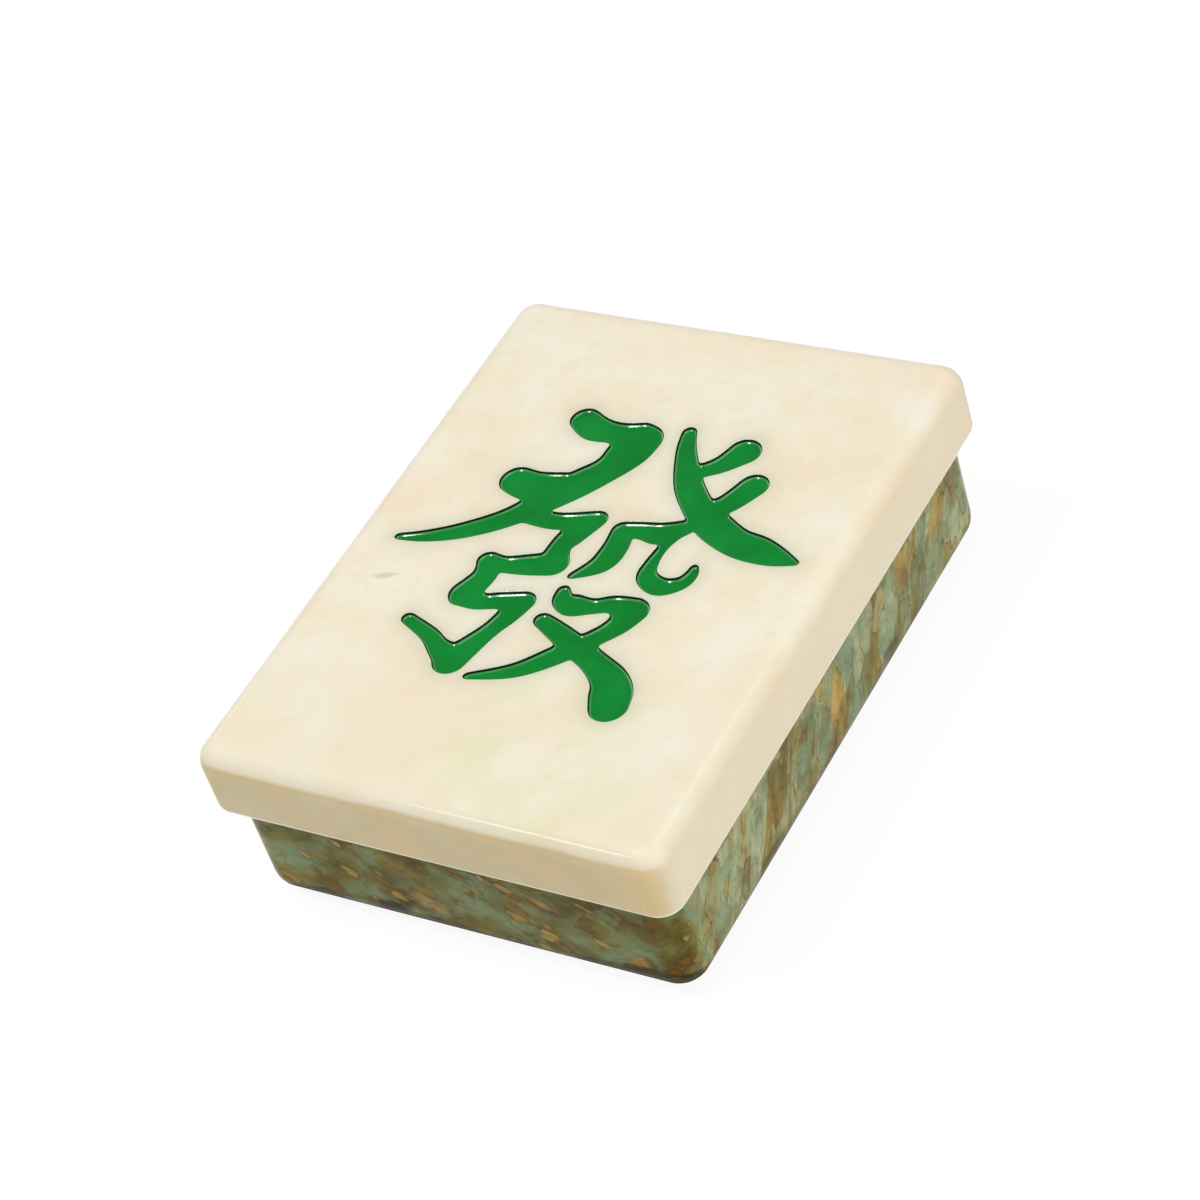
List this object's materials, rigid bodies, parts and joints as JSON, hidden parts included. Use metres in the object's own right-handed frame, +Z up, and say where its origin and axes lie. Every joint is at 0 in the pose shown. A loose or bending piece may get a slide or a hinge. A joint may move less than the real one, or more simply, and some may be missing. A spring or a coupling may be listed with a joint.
{
  "type": "mahjong tile trinket box",
  "caption": "Trinket box shaped like a mahjong tile: a cream lid with an engraved, painted sign lifts off a hollow marbled base with a soft pad inside.",
  "frame": {"origin": "on the ground under the middle of the box", "axes": "+X across the width, +Y along the length towards the top of the sign, +Z up"},
  "size_m": [0.076, 0.1006, 0.0322],
  "materials": {
    "lid_cream": "polished cream resin with pearly clouds",
    "sign_paint": "glossy green paint",
    "base_marble": "polished resin marbled in teal, olive and gold",
    "liner_suede": "short-pile suede",
    "foot_clear": "clear soft bumper"
  },
  "bodies": {
    "base": {"base_tray": "base_marble", "floor_liner": "liner_suede", "foot_front_left": "foot_clear", "foot_front_right": "foot_clear", "foot_back_left": "foot_clear", "foot_back_right": "foot_clear"},
    "lid": {"lid_slab": "lid_cream", "sign_left": "sign_paint", "sign_right": "sign_paint", "sign_lower": "sign_paint", "lid_locating_plate": "lid_cream"}
  },
  "joints": [
    {"name": "lid_lift", "type": "slide", "parent": "base", "child": "lid", "axis": [0, 0, 1], "range_m": [0, 0.04]}
  ]
}
